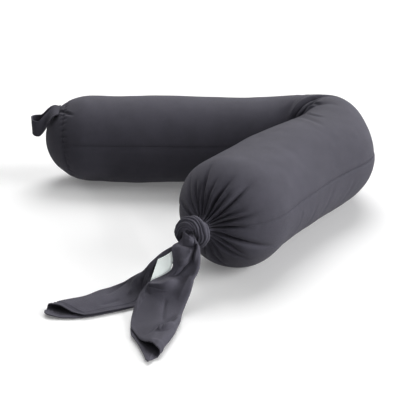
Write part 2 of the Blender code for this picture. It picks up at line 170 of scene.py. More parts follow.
# Wrinkles of the bend: length along the cloth and angle round it, point by point
BEND_WRINKLES = (
    Wrinkle(0.0042, 0.0034, 0.001, ((0.088, 72.0), (0.104, 64.0), (0.118, 57.0), (0.132, 51.0), (0.15, 46.0))),
    Wrinkle(
        0.011, 0.0052, 0.003, ((0.69, -15.0), (0.71, 20.0), (0.722, 50.0), (0.731, 76.0), (0.743, 96.0), (0.768, 124.0))
    ),
    Wrinkle(0.0042, 0.004, 0.0014, ((0.73, 34.0), (0.744, 52.0), (0.762, 64.0), (0.786, 72.0), (0.806, 82.0))),
    Wrinkle(0.0035, 0.0045, 0.0012, ((0.85, 58.0), (0.888, 76.0), (0.904, 90.0), (0.9, 106.0))),
    Wrinkle(0.003, 0.006, 0.001, ((0.66, 40.0), (0.68, 62.0), (0.69, 86.0), (0.688, 112.0))),
    Wrinkle(0.0022, 0.007, 0.0008, ((0.9, 60.0), (0.935, 88.0), (0.95, 118.0))),
    Wrinkle(0.004, 0.006, 0.0012, ((0.64, -60.0), (0.69, -30.0), (0.742, -5.0), (0.79, 20.0))),
    Wrinkle(0.003, 0.006, 0.001, ((0.79, -70.0), (0.8, -35.0), (0.78, 0.0))),
    Wrinkle(0.0014, 0.007, 0.0005, ((0.79, 150.0), (0.812, 178.0), (0.838, 212.0))),
    Wrinkle(0.001, 0.007, 0.0005, ((0.7, 140.0), (0.716, 176.0), (0.706, 215.0))),
    Wrinkle(0.0013, 0.007, 0.0006, ((1.02, 176.0), (1.04, 192.0), (1.066, 224.0))),
    Wrinkle(0.0016, 0.004, 0.001, ((1.186, 178.0), (1.18, 196.0), (1.2, 226.0))),
    Wrinkle(0.001, 0.007, 0.0005, ((0.93, 178.0), (0.94, 200.0), (0.972, 232.0))),
    Wrinkle(0.0012, 0.005, 0.0006, ((1.11, 182.0), (1.116, 204.0), (1.14, 230.0))),
)

# The knot: a ring of folded cloth in front of the neck, its hole off its middle
KNOT_MIDDLE = (-0.0142, -0.2455, 0.1068)
KNOT_HEADING_DEG = -101.0
KNOT_DROP_DEG = -8.0
KNOT_RADIUS = 0.0335
KNOT_HOLE_RADIUS = 0.0080
KNOT_HOLE_SHIFT = 0.0055
KNOT_HOLE_DEG = 310.0
KNOT_DEPTH_SHARE = 0.92
KNOT_AROUND = 200
KNOT_ACROSS = 144
KNOT_STRANDS = 12
# The strands move five places across the ring, most of the way over its top right
KNOT_SHIFT = 5
KNOT_EVEN_SHARE = 0.35
KNOT_CROSSING_DEG = (55.0, 165.0)
KNOT_CLOTH_ACROSS = 0.0127
KNOT_CLOTH_AROUND = 0.021

# The tails, as folded sheets: where each section's middle lies, and how it is folded
TAIL_ALONG = 150
TAIL_ACROSS = 96
TAIL_FRONT = (
    Fold(-0.0166, -0.2475, 0.1038, 0.0060, 0.0044, 1.00, 5.0, 0.0, 0.0000),
    Fold(-0.0167, -0.2543, 0.1030, 0.0062, 0.0044, 1.00, 5.0, 0.0, 0.0000),
    Fold(-0.0240, -0.2652, 0.0965, 0.0168, 0.0050, 1.00, 5.0, 0.0, 0.0008),
    Fold(-0.0256, -0.2719, 0.0918, 0.0233, 0.0055, 1.00, 3.0, 0.0, 0.0015),
    Fold(-0.0245, -0.2757, 0.0839, 0.0240, 0.0060, 1.00, 0.0, 0.0, 0.0022),
    Fold(-0.0235, -0.2836, 0.0690, 0.0231, 0.0070, 1.00, -3.0, 0.0, 0.0025),
    Fold(-0.0262, -0.2890, 0.0565, 0.0236, 0.0080, 1.00, -8.0, 0.0, 0.0022),
    Fold(-0.0370, -0.2942, 0.0440, 0.0290, 0.0085, 1.00, -14.0, 0.0, 0.0020),
    Fold(-0.0495, -0.3063, 0.0340, 0.0370, 0.0090, 1.00, -18.0, -6.0, 0.0018),
    Fold(-0.0595, -0.3175, 0.0215, 0.0390, 0.0095, 1.00, -20.0, -12.0, 0.0012),
    Fold(-0.0684, -0.3393, 0.0110, 0.0400, 0.0095, 1.00, -18.0, -12.0, 0.0006),
    Fold(-0.0735, -0.3764, 0.0024, 0.0398, 0.0110, 1.00, -12.0, -1.5, 0.0000),
    Fold(-0.0754, -0.4169, 0.0014, 0.0337, 0.0140, 1.00, -5.0, 0.0, 0.0000),
    Fold(-0.0763, -0.4552, 0.0014, 0.0223, 0.0165, 1.00, 0.0, 0.0, 0.0000),
    Fold(-0.0765, -0.4940, 0.0014, 0.0108, 0.0135, 1.00, 0.0, 0.0, 0.0000),
)
TAIL_LEFT = (
    Fold(-0.0192, -0.2475, 0.0992, 0.0052, 0.0044, 1.00, 115.0, 15.0, 0.0000),
    Fold(-0.0199, -0.2543, 0.0935, 0.0052, 0.0044, 1.00, 115.0, 15.0, 0.0000),
    Fold(-0.0340, -0.2612, 0.0850, 0.0090, 0.0050, 0.60, 100.0, 50.0, 0.0000),
    Fold(-0.0560, -0.2640, 0.0680, 0.0130, 0.0060, 0.18, 100.0, 50.0, 0.0000),
    Fold(-0.0719, -0.2700, 0.0490, 0.0175, 0.0080, 0.18, 105.0, 40.0, 0.0000),
    Fold(-0.0895, -0.2790, 0.0270, 0.0240, 0.0085, 0.60, 112.0, 26.0, 0.0000),
    Fold(-0.1124, -0.2845, 0.0100, 0.0335, 0.0085, 0.95, 115.0, 12.0, 0.0000),
    Fold(-0.1394, -0.2945, 0.0024, 0.0365, 0.0100, 1.00, 115.0, 2.0, 0.0000),
    Fold(-0.1668, -0.3116, 0.0019, 0.0335, 0.0120, 0.99, 113.0, 0.0, 0.0000),
    Fold(-0.1957, -0.3285, 0.0019, 0.0280, 0.0125, 0.99, 108.0, 0.0, 0.0000),
    Fold(-0.2281, -0.3384, 0.0019, 0.0211, 0.0145, 0.98, 102.0, 0.0, 0.0000),
    Fold(-0.2600, -0.3406, 0.0019, 0.0128, 0.0098, 0.96, 98.0, 0.0, 0.0000),
)
# Places across a tail, from the lower leaf's open edge round the fold to the upper leaf's, and the share cut off there
FRONT_LEAVES = (
    (0.00, 0.10, 0.20, 0.30, 0.40, 0.50, 0.60, 0.70, 0.80, 0.90, 1.00),
    (0.140, 0.062, 0.016, 0.004, 0.018, 0.038, 0.054, 0.064, 0.078, 0.108, 0.175),
)
LEFT_LEAVES = (
    (0.00, 0.08, 0.20, 0.40, 0.50, 0.60, 0.70, 0.80, 0.90, 1.00),
    (0.035, 0.012, 0.000, 0.004, 0.020, 0.045, 0.068, 0.095, 0.125, 0.170),
)
FOLD_SHARE = 0.10
LEAF_GAP = 0.0026
# How far each tail's leaves close on each other at their open edges
FRONT_CLOSING = 0.9
LEFT_CLOSING = 0.85
ROOT_RUFFLES = 7.0
ROOT_RUFFLE = 0.0014
LOWEST_CLOTH = 0.0010
HEM_GROOVE = 0.0017
HEM_ROW_WIDTH = 0.0010
HEM_ROWS_APART = 0.0052
LIP_LIFT = 0.0036
# Where along a tail each begins and how far it takes: hems, leaves that wrinkle apart, and the lower lip's lift
HEMS_SHOW = (0.40, 0.15)
LEAVES_PART = (0.70, 0.12)
LIP_RISES = (0.91, 0.09)
# The same across it: the upper leaf with its wrinkles, and the end of the lower lip
UPPER_LEAF = (0.46, 0.08)
LIP_ENDS = (0.34, 0.10)
# A sheet's area is given as at least this share of its width times its length
SMALLEST_AREA_SHARE = 0.31
# Wrinkles of the tails: shares along and across, point by point
FRONT_WRINKLES = (
    Wrinkle(
        0.017, 0.004, 0.0, ((0.09, 0.98), (0.112, 0.88), (0.128, 0.79), (0.14, 0.7), (0.146, 0.61), (0.144, 0.54))
    ),
    Wrinkle(
        -0.015, 0.0044, 0.0, ((0.142, 0.99), (0.158, 0.9), (0.178, 0.81), (0.198, 0.72), (0.214, 0.65), (0.24, 0.6))
    ),
    Wrinkle(0.008, 0.005, 0.0, ((0.25, 0.64), (0.29, 0.66), (0.34, 0.72), (0.39, 0.82), (0.42, 0.9))),
    Wrinkle(
        -0.009, 0.0042, 0.0,
        ((0.06, 0.55), (0.13, 0.56), (0.24, 0.6), (0.36, 0.68), (0.43, 0.76), (0.55, 0.84), (0.6, 0.9))
    ),
    Wrinkle(0.0046, 0.003, 0.0, ((0.17, 0.53), (0.24, 0.555), (0.33, 0.58), (0.4, 0.62))),
    Wrinkle(
        0.0135, 0.007, 0.0, ((0.74, 1.04), (0.704, 0.95), (0.672, 0.88), (0.642, 0.81), (0.604, 0.75), (0.57, 0.69))
    ),
    Wrinkle(-0.0026, 0.0036, 0.0, ((0.71, 0.72), (0.75, 0.715), (0.79, 0.7), (0.83, 0.68), (0.862, 0.65))),
    Wrinkle(0.011, 0.0024, 0.001, ((0.922, 0.72), (0.914, 0.66), (0.906, 0.61), (0.888, 0.57), (0.86, 0.55))),
    Wrinkle(0.007, 0.0024, 0.0, ((0.892, 0.57), (0.872, 0.55), (0.846, 0.54), (0.81, 0.535), (0.77, 0.53))),
    Wrinkle(
        -0.0034, 0.0034, 0.0, ((0.985, 0.88), (0.94, 0.78), (0.9, 0.72), (0.868, 0.66), (0.83, 0.61), (0.77, 0.57))
    ),
    Wrinkle(0.003, 0.007, 0.0004, ((0.48, 0.56), (0.6, 0.6), (0.72, 0.6))),
)
LEFT_WRINKLES = (
    Wrinkle(0.0055, 0.005, 0.0, ((0.36, 0.52), (0.44, 0.6), (0.5, 0.72), (0.56, 0.82), (0.64, 0.92))),
    Wrinkle(-0.004, 0.005, 0.0, ((0.44, 0.54), (0.52, 0.63), (0.59, 0.73), (0.67, 0.82))),
    Wrinkle(0.0036, 0.006, 0.0, ((0.52, 0.54), (0.609, 0.58), (0.7, 0.64), (0.77, 0.7))),
    Wrinkle(0.0024, 0.0044, 0.0, ((0.7, 0.82), (0.78, 0.85), (0.86, 0.86))),
    Wrinkle(0.004, 0.005, 0.0, ((0.43, 0.84), (0.48, 0.92), (0.52, 0.99))),
)

# The strap loop at the round end
STRAP_WIDTH = 0.038
STRAP_REACH = 0.070
STRAP_BULGE = 0.0165
STRAP_DROP = 0.038
STRAP_NEAR_DROP = 0.009
STRAP_ROOT_DEG = 68.0
STRAP_ROOT_GAP = 0.0018
STRAP_LIFT = 0.0040
STRAP_TUCK = 0.0050
STRAP_ALONG = 110
STRAP_ACROSS = 24

# The care label between the tails
LABEL_ALONG = 40
LABEL_ACROSS = 30
LABEL_SAG = 0.002
LABEL_CORNERS = (
    ((-0.0728, -0.2710, 0.0687), (-0.0418, -0.2692, 0.0888)),
    ((-0.0878, -0.2945, 0.0310), (-0.0530, -0.2815, 0.0435)),
)

# The relief of the jersey's stitches, and of the label's plain weave with its threads' gaps
STITCH_HEIGHT = 0.00035
WEAVE_HEIGHT = 0.0002
WARP_GAP = 0.0007
WEFT_GAP = 0.0005

# The photograph's camera
CAMERA_PLACE = (0.0048, -1.4414, 0.609)
CAMERA_TILT_DEG = 69.8
CAMERA_LENS_MM = 67.14
SENSOR_MM = 36.0

# The floor, just below the cloth, and its rim: how far each step rises, and how it spreads
FLOOR_RADIUS = 20.0
FLOOR_HEIGHT = -0.0005
RIM_STEPS = ((0.10, 1.05), (0.30, 1.04), (0.60, 1.03), (1.00, 1.02), (1.60, 1.01))

# Soft studio light: large lamps from above and behind, from the upper left, and from low on the right
LAMPS = (
    Lamp("top_light", (0.10, 0.62, 0.78), 2.1, 40.0),
    Lamp("left_light", (-0.45, 0.35, 0.82), 0.45, 50.0),
    Lamp("side_light", (0.93, -0.18, 0.30), 3.3, 50.0),
)
# A low front spot that fills the roots of the tails
TAIL_LIGHT = Spot((0.58, -1.66, 0.38), (-0.032, -0.276, 0.092), 120.0, 4.0, 0.08)


# Small maths


def smooth(share):
    share = np.clip(share, 0.0, 1.0)
    return share * share * (3.0 - 2.0 * share)


def bell(offset, width):
    return np.exp(-((offset / width) ** 2))


def turned(offset_deg):
    """An angle between -180 and 180 degrees."""
    return (offset_deg + 180.0) % 360.0 - 180.0


def directions(heading, drop):
    """Directions ahead, to the inner side and upward, from headings and drops in radians."""
    ahead = np.stack((np.cos(heading) * np.cos(drop), np.sin(heading) * np.cos(drop), np.sin(drop)), axis=-1)
    inner = np.stack((np.sin(heading), -np.cos(heading), np.zeros_like(heading)), axis=-1)
    return ahead, inner, np.cross(inner, ahead)


def noise_at(points, scale, shift=0.0):
    """Smooth noise from -1 to 1 at each point of an array."""
    flat = points.reshape(-1, 3) / scale + shift
    return np.array([noise.noise(Vector(point)) for point in flat]).reshape(points.shape[:-1])


def grid_normals(grid, closed):
    """Outward directions of a grid whose rows run ahead and whose columns turn from the inner side upward."""
    along = np.gradient(grid, axis=0)
    if closed:
        across = np.roll(grid, -1, axis=1) - np.roll(grid, 1, axis=1)
    else:
        across = np.gradient(grid, axis=1)
    normals = np.cross(along, across)
    return normals / np.maximum(np.linalg.norm(normals, axis=-1, keepdims=True), 1e-12)


def on_grid(grid, row, column, closed):
    """Points of a grid at places between its rows and columns."""
    row0 = np.clip(np.floor(row).astype(int), 0, grid.shape[0] - 2)
    column0 = np.floor(column).astype(int)
    if closed:
        column_share = (column - column0)[:, None]
        column0 %= grid.shape[1]
        column1 = (column0 + 1) % grid.shape[1]
    else:
        column0 = np.clip(column0, 0, grid.shape[1] - 2)
        column_share = (column - column0)[:, None]
        column1 = column0 + 1
    row_share = (row - row0)[:, None]
    near = grid[row0, column0] * (1.0 - column_share) + grid[row0, column1] * column_share
    far = grid[row0 + 1, column0] * (1.0 - column_share) + grid[row0 + 1, column1] * column_share
    return near * (1.0 - row_share) + far * row_share


def curve_between(before, start, end, after, t):
    """Places at shares t of the way between the second and third of four points, on a smooth curve."""
    curve = start * 2 + (end - before) * t
    curve += (before * 2 - start * 5 + end * 4 - after) * t * t
    curve += (start * 3 - before - end * 3 + after) * t**3
    return curve / 2


def smooth_route(points, count):
    """Evenly counted places on a smooth curve through a few points."""
    points = np.array(points, float)
    padded = np.vstack((2 * points[0] - points[1], points, 2 * points[-1] - points[-2]))
    places = np.linspace(0.0, len(points) - 1.0, count)
    index = np.minimum(places.astype(int), len(points) - 2)
    return curve_between(*(padded[index + step] for step in range(4)), (places - index)[:, None])


def wrinkle_push(grid, wrinkle, route):
    """How far each point of a grid is pushed outward by a wrinkle along a route of points."""
    push = np.zeros(grid.shape[:2])
    reach = wrinkle.width * 4.5
    near = np.all((grid > route.min(axis=0) - reach) & (grid < route.max(axis=0) + reach), axis=2)
    spots = grid[near]
    if not len(spots):
        return push
    best = np.full(len(spots), np.inf)
    share = np.zeros(len(spots))
    for index, point in enumerate(route):
        gap = np.sum((spots - point) ** 2, axis=1)
        closer = gap < best
        best[closer] = gap[closer]
        share[closer] = index / (len(route) - 1)
    across = np.sqrt(best) / wrinkle.width
    fade = smooth(share / 0.3) * smooth((1.0 - share) / 0.3)
    push[near] = fade * (wrinkle.lip * bell(across - 2.0, 1.0) - wrinkle.depth * np.exp(-(across**1.3)))
    return push


# Meshes


def grid_faces(rows, columns, closed):
    """Corner numbers of a grid's faces, facing the side that grid_normals points to."""
    count = columns if closed else columns - 1
    row, column = np.meshgrid(np.arange(rows - 1), np.arange(count), indexing="ij")
    after = (column + 1) % columns
    corners = (row * columns + column, (row + 1) * columns + column, (row + 1) * columns + after, row * columns + after)
    return np.stack(corners, axis=-1).reshape(-1, 4)


def mesh_piece(name, points, faces, places, finish):
    """A smooth-shaded object from points, faces of equal or mixed size, and each face corner's flat place."""
    mesh = bpy.data.meshes.new(name)
    mesh.from_pydata(np.asarray(points).tolist(), [], faces)
    layer = mesh.uv_layers.new(name="cloth")
    layer.data.foreach_set("uv", np.asarray(places, np.float32).ravel())
    mesh.materials.append(finish)
    mesh.shade_smooth()
    mesh.update()
    piece = bpy.data.objects.new(name, mesh)
    bpy.context.scene.collection.objects.link(piece)
    return piece


def grid_piece(name, grid, flat, finish, closed=False, capped=False):
    """A piece through a grid of points; flat is the grid's place on the uncut cloth, in metres."""
    rows, columns = grid.shape[:2]
    faces = grid_faces(rows, columns, closed)
    if closed:
        row, column = faces[:, 0] // columns, faces[:, 0] % columns
        places = np.stack(
            (flat[row, column], flat[row + 1, column], flat[row + 1, column + 1], flat[row, column + 1]), axis=1
        ).reshape(-1, 2)
    else:
        places = flat.reshape(-1, 2)[faces.ravel()]
    points = grid.reshape(-1, 3)
    faces = faces.tolist()
    if capped:
        points = np.vstack((points, grid[0].mean(axis=0), grid[-1].mean(axis=0)))
        last = (rows - 1) * columns
        extra = []
        for column in range(columns):
            after = (column + 1) % columns
            faces.append([rows * columns, column, after])
            extra += [flat[0, column], flat[0, column], flat[0, column + 1]]
            faces.append([rows * columns + 1, last + after, last + column])
            extra += [flat[-1, column], flat[-1, column + 1], flat[-1, column]]
        places = np.vstack((places, extra))
    return mesh_piece(name, points + TABLE_PLACE, faces, places, finish)


def cut_size(grid):
    """The area of a grid's cloth, in square metres, and its mean width and length."""
    along, across = np.diff(grid, axis=0)[:, :-1], np.diff(grid, axis=1)[:-1]
    area = np.linalg.norm(np.cross(along, across), axis=-1).sum()
    width = np.linalg.norm(np.diff(grid, axis=1), axis=-1).sum(axis=1).max()
    length = np.linalg.norm(np.diff(grid, axis=0), axis=-1).sum(axis=0).max()
    return float(area), float(width), float(length)


def thickened(piece, thickness):
    """The sheet made solid, half of its thickness to each side."""
    solid = piece.modifiers.new("thickness", "SOLIDIFY")
    solid.thickness = thickness
    solid.offset = 0.0
    solid.use_even_offset = False
    with bpy.context.temp_override(object=piece, active_object=piece, selected_objects=[piece]):
        bpy.ops.object.modifier_apply(modifier=solid.name)


# Finishes


class Flow:
    """A shader socket that takes part in arithmetic; each operation adds its Math node."""

    def __init__(self, finish, socket):
        self.finish, self.socket = finish, socket

    def maths(self, operation, *values):
        settings = {"operation": operation}
        return self.finish.node("ShaderNodeMath", settings, dict(enumerate((self, *values))))

    def __add__(self, other):
        return self.maths("ADD", other)

    __radd__ = __add__

    def __sub__(self, other):
        return self.maths("SUBTRACT", other)

    def __rsub__(self, other):
        return (self * -1.0) + other

    def __mul__(self, other):
        return self.maths("MULTIPLY", other)

    __rmul__ = __mul__

    def __pow__(self, other):
        return self.maths("POWER", other)

    def __abs__(self):
        return self.maths("ABSOLUTE")

    def fract(self):
        return self.maths("FRACT")

    def sine(self):
        return self.maths("SINE")


class Finish:
    """A material on the main shader, whose nodes all come from one method."""

    def __init__(self, name, roughness, sheen=0.0):
        self.made = bpy.data.materials.new(name)
        self.made.use_nodes = True
        self.tree = self.made.node_tree
        self.shader = self.tree.nodes["Principled BSDF"]
        self.place = self.node("ShaderNodeTexCoord", output=3)
        self.feed("Roughness", roughness)
        self.feed("Sheen Weight", sheen)
        self.feed("Sheen Roughness", 0.5)
        self.feed("Specular IOR Level", 0.25)

    def put(self, socket, value):
        if isinstance(value, Flow):
            self.tree.links.new(value.socket, socket)
        else:
            socket.default_value = value

    def feed(self, name, value):
        """Put a value or a link into one of the cloth shader's sockets."""
        self.put(self.shader.inputs[name], value)

    def node(self, kind, settings=None, values=None, output=0):
        made = self.tree.nodes.new(kind)
        for key, value in (settings or {}).items():
            setattr(made, key, value)
        for key, value in (values or {}).items():
            self.put(made.inputs[key], value)
        return Flow(self, made.outputs[output])

    def noise(self, scale, detail, roughness):
        values = {"Vector": self.place, "Scale": scale, "Detail": detail, "Roughness": roughness}
        return self.node("ShaderNodeTexNoise", {}, values)

    def cloth_places(self):
        """Places across and along the uncut cloth, in metres."""
        across = self.node("ShaderNodeSeparateXYZ", {}, {0: self.node("ShaderNodeUVMap", {"uv_map": "cloth"})})
        return across, Flow(self, across.socket.node.outputs[1])

    def relief(self, height, strength, distance):
        """Give the surface a fine relief from a height."""
        values = {"Strength": strength, "Distance": distance, "Height": height}
        self.feed("Normal", self.node("ShaderNodeBump", {}, values))

    def mix(self, share, first, second):
        settings = {"data_type": "RGBA", "clamp_factor": True}
        return self.node("ShaderNodeMix", settings, {0: share, 6: first, 7: second}, 2)


def shaded(colour, amount):
    return (colour[0] * amount, colour[1] * amount, colour[2] * amount, 1.0)


def jersey_finish(name, sizes):
    """Fine single jersey: columns of small V stitches, a slight mottle in the dye, and a soft sheen."""
    finish = Finish(name, sizes.roughness, sizes.sheen)
    u, v = finish.cloth_places()
    leg = abs((u * (1.0 / sizes.wale)).fract() - 0.5) * 2.0
    row = (v * (1.0 / sizes.course) + leg * 0.55).fract()
    stitch = (1.0 - (leg * 2.0 - 1.0) ** 2.0) * (row * math.pi).sine()
    fuzz = finish.noise(1500.0, 2.0, 0.7)
    mottle = finish.noise(9.0, 4.0, 0.55)
    cloud = finish.noise(34.0, 3.0, 0.6)
    heather = finish.noise(420.0, 2.0, 0.6)
    finish.relief(stitch * 0.75 + fuzz * 0.5, sizes.stitch_depth, STITCH_HEIGHT)
    tone = mottle * 0.60 + cloud * 0.40 + heather * 0.25 + stitch * 0.06 - 0.15
    finish.feed("Base Color", finish.mix(tone, shaded(sizes.colour, 0.64), shaded(sizes.colour, 1.36)))
    finish.feed("Roughness", mottle * 0.12 + (sizes.roughness - 0.06))
    return finish.made


def label_finish(name, sizes):
    """Pale satin ribbon with a fine plain weave, and a painted glow in its own colour that makes it look more brightly
    lit.
    """
    finish = Finish(name, 0.55, 0.1)
    u, v = finish.cloth_places()
    weave = (u * (math.tau / WARP_GAP)).sine() * (v * (math.tau / WEFT_GAP)).sine()
    tone = finish.noise(60.0, 3.0, 0.5) * 0.8 + weave * 0.1 + 0.05
    finish.feed("Base Color", finish.mix(tone, shaded(sizes.colour, 0.93), shaded(sizes.colour, 1.04)))
    # Painted light: the ribbon glows in its own colour, so it looks brighter than the lamps alone would light it.
    finish.feed("Emission Color", shaded(sizes.colour, 1.0))
    finish.feed("Emission Strength", sizes.painted_glow)
    finish.relief(weave, 0.3, WEAVE_HEIGHT)
    return finish.made


# Route and sections of the bolster


def angles_at(distances):
    """Heading and drop, in radians, of the middle line at distances from the round end's tip."""
    heading = np.full_like(distances, START_HEADING_DEG)
    drop, begun = np.zeros_like(distances), 0.0
    for stretch in ROUTE:
        share = smooth((distances - begun) / stretch.length)
        heading += stretch.turn_deg * share
        drop += stretch.drop_deg * share
        begun += stretch.length
    return np.radians(heading), np.radians(drop)


def walk_route(step=0.001):
    """Distances along the middle line and the points there, at the height of the tube's axis."""
    total = sum(stretch.length for stretch in ROUTE)
    distances = np.arange(0.0, total + step, step)
    ahead, _, _ = directions(*angles_at(distances[:-1] + step / 2))
    start = np.array([START[0], START[1], TUBE_RADIUS * FLATTENED - SINK])
    return distances, np.vstack((start, start + np.cumsum(ahead * step, axis=0)))


ROUTE_DISTANCES, ROUTE_POINTS = walk_route()
DOME_BEGUN = sum(stretch.length for stretch in ROUTE[:4])


def route_at(distances):
    """Middle points and directions ahead, to the inner side and upward."""
    middle = np.stack([np.interp(distances, ROUTE_DISTANCES, ROUTE_POINTS[:, axis]) for axis in range(3)], axis=-1)
    return (middle, *directions(*angles_at(distances)))


def plumpness(distances):
    """The tube's radius along the arms, eased from row to row."""
    rows = np.array(PLUMPNESS)
    index = np.clip(np.searchsorted(rows[:, 0], distances) - 1, 0, len(rows) - 2)
    share = smooth((distances - rows[index, 0]) / (rows[index + 1, 0] - rows[index, 0]))
    return rows[index, 1] + (rows[index + 1, 1] - rows[index, 1]) * share


def bulged(bulges, distances):
    """The share of the tube's radius that one side has at a distance."""
    return 1.0 + sum(bulge.amount * bell(distances - bulge.distance, bulge.span) for bulge in bulges)


def profile():
    """The cover's profile: length along the cloth, distance on the middle line, radius and distance from the neck."""
    angle = np.linspace(0.012, math.pi / 2, 900)
    distance = [END_DOME * (1.0 - np.cos(angle))]
    radius = [PLUMPNESS[0].radius * np.sin(angle)]
    arms = np.arange(END_DOME, DOME_BEGUN, 0.0003)[1:]
    distance.append(arms)
    radius.append(plumpness(arms))
    angle = np.linspace(math.pi / 2, math.radians(DOME_CUT_DEG), 700)
    full = PLUMPNESS[-1].radius
    distance.append(DOME_BEGUN + TIED_DOME * np.cos(angle))
    radius.append(NECK_RADIUS + (full - NECK_RADIUS) * np.sin(angle))
    distance, radius = np.concatenate(distance), np.concatenate(radius)
    along = np.concatenate(([0.0], np.cumsum(np.hypot(np.diff(distance), np.diff(radius)))))
    return along, distance, radius, along[-1] - along


def ring_places(total):
    """Lengths along the cloth at which the cover has its rings."""
    places = [0.0]
    while places[-1] < total:
        places.append(places[-1] + float(np.interp(places[-1], GAP_PLACES, RING_GAPS)))
    return np.array(places) * total / places[-1]


def column_angles():
    """Angles round the cover, in degrees, closer together beside the side seams."""
    angles = set(np.arange(0.0, 360.0, ANGLE_GAP_DEG))
    for seam in SIDE_SEAMS_DEG:
        for offset in SEAM_OFFSETS_DEG:
            angles |= {(seam + offset) % 360.0, (seam - offset) % 360.0}
    return np.array(sorted(angles))


def crease_depth(distance, angle_deg):
    """How far the cloth is pushed in by the creases of the bend."""
    depth = 0.0
    for crease in CREASES:
        middle = (crease.from_deg + crease.to_deg) / 2
        half = (crease.to_deg - crease.from_deg) / 2
        offset = turned(angle_deg - middle)
        along = crease.distance + crease.slant * offset / half
        fade = np.where(np.abs(offset) < half, np.cos(math.pi / 2 * np.clip(offset / half, -1, 1)) ** 2, 0.0)
        depth = depth + crease.depth * fade * bell(distance - along, crease.width)
    return depth


def bare_cover(distance, radius, angles):
    """The cover's grid of points before its seams, gathers and wrinkles."""
    middle, _, inner, up = route_at(distance)
    across, height = np.cos(np.radians(angles)), np.sin(np.radians(angles))
    side = np.where(across > 0, bulged(INNER_SIDE, distance)[:, None], bulged(OUTER_SIDE, distance)[:, None])
    top = FLATTENED * bulged(TOP_SIDE, distance)[:, None]
    tall = np.where(height > 0, top, FLATTENED * UNDERSIDE_SAG)
    pushed = crease_depth(distance[:, None], angles[None, :])
    seam = END_SEAM_DEPTH * 0.6 * bell(distance - END_SEAM_DISTANCE, 0.012)[:, None]
    reach = np.maximum(radius[:, None] - pushed - seam, radius[:, None] * 0.2)
    grid = middle[:, None] + inner[:, None] * (reach * side * across)[..., None]
    grid += up[:, None] * (reach * tall * height)[..., None]
    grid[..., 2] = rested(grid[..., 2])
    return grid


def rested(height):
    """Heights that ease down to the floor and never pass it."""
    return (height + np.sqrt(height**2 + 0.0015**2)) / 2 - 0.0004 * np.exp(-np.abs(height) / 0.004)


def knot_directions():
    """Directions along the knot's hole, and across it to the inner side and upward."""
    return directions(np.radians(KNOT_HEADING_DEG), np.radians(KNOT_DROP_DEG))


def neck_grid(start, angles):
    """Rings from the dome's last ring into the knot's hole, with the distance gone and each ring's radius."""
    ahead, inner, up = knot_directions()
    hole_angle = math.radians(KNOT_HOLE_DEG)
    hole = np.array(KNOT_MIDDLE) + (inner * math.cos(hole_angle) + up * math.sin(hole_angle)) * KNOT_HOLE_SHIFT
    middle, begun, _, _ = (value[0] for value in route_at(np.array([start])))
    line = smooth_route((middle, middle + begun * 0.014, hole - ahead * 0.008, hole + ahead * 0.006), NECK_RINGS)
    tangent = np.gradient(line, axis=0)
    tangent /= np.linalg.norm(tangent, axis=1, keepdims=True)
    _, inner, up = directions(np.arctan2(tangent[:, 1], tangent[:, 0]), np.arcsin(tangent[:, 2]))
    gone = np.concatenate(([0.0], np.cumsum(np.linalg.norm(np.diff(line, axis=0), axis=1))))
    radius = np.interp(gone / gone[-1], NECK_SHARES, NECK_RADII)
    across, height = np.cos(np.radians(angles)), np.sin(np.radians(angles))
    ring = inner[:, None] * across[None, :, None] + up[:, None] * height[None, :, None]
    return line[:, None] + ring * radius[:, None, None], gone, radius


def all_gathers():
    """The long gathers of the table, and shorter ones between them at steps that don't repeat."""
    gathers = list(GATHERS)
    for index in range(MIDDLE_GATHERS):
        part = (index * GOLDEN) % 1.0
        angle = 360.0 * (index + 0.35 * part) / MIDDLE_GATHERS
        gathers.append(Gather(angle, 10.0 * part - 5.0, 0.0052 + 0.0020 * part, 0.0025, 0.045 + 0.025 * part))
    for index in range(SHORT_GATHERS):
        part = (index * GOLDEN * 1.7) % 1.0
        angle = 360.0 * (index + 0.5 * part) / SHORT_GATHERS
        gathers.append(Gather(angle, 8.0 * part - 4.0, 0.0032 + 0.0018 * part, 0.0015, 0.022 + 0.018 * part))
    return gathers


def gather_push(from_neck, angles, radius):
    """How far the gathers draw the cloth in, by distance from the neck and angle."""
    push = 0.0
    from_neck, radius = from_neck[:, None], radius[:, None]
    for gather in all_gathers():
        share = from_neck / gather.reach
        bent = gather.angle_deg + gather.swing_deg * smooth(share)
        offset = turned(angles[None, :] - bent) * math.pi / 180.0 * np.maximum(radius, 0.012)
        width = gather.width * (0.46 + 0.90 * np.clip(share, 0.0, 1.2))
        fade = (1.0 - smooth(share) ** 1.6) * np.clip(0.85 + share * 3.0, 0.0, 1.0)
        push = push - gather.depth * fade * np.exp(-((np.abs(offset) / width) ** 1.25))
    return np.maximum(push, -GATHER_LIMIT * radius)


